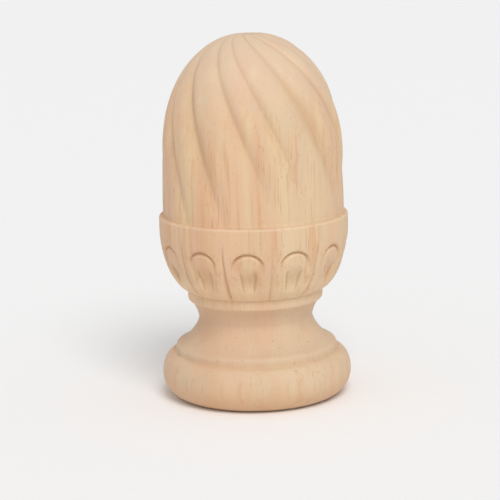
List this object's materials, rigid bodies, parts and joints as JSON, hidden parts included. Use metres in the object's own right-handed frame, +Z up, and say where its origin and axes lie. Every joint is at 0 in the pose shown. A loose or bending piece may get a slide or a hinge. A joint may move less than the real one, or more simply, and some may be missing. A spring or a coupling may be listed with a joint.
{
  "type": "carved wooden newel or bedpost finial, acorn-shaped with a swirl-lobed dome",
  "caption": "Acorn-shaped turned wood finial: dome carved with swirling lobes, a cup ringed with arched tongues, a waisted neck and a round flat foot; tops a post.",
  "frame": {"origin": "centre of the flat underside, on the axis of turning", "axes": "+Z up along the axis of turning, towards the dome's top; -Y is the side the picture shows"},
  "size_m": [0.0736, 0.0736, 0.14],
  "materials": {
    "bare_wood": "bare sanded pale wood, unfinished, with fine upright grain, faint orange streaks and small dark pores"
  },
  "bodies": {
    "root": {"finial": "bare_wood"}
  },
  "joints": []
}
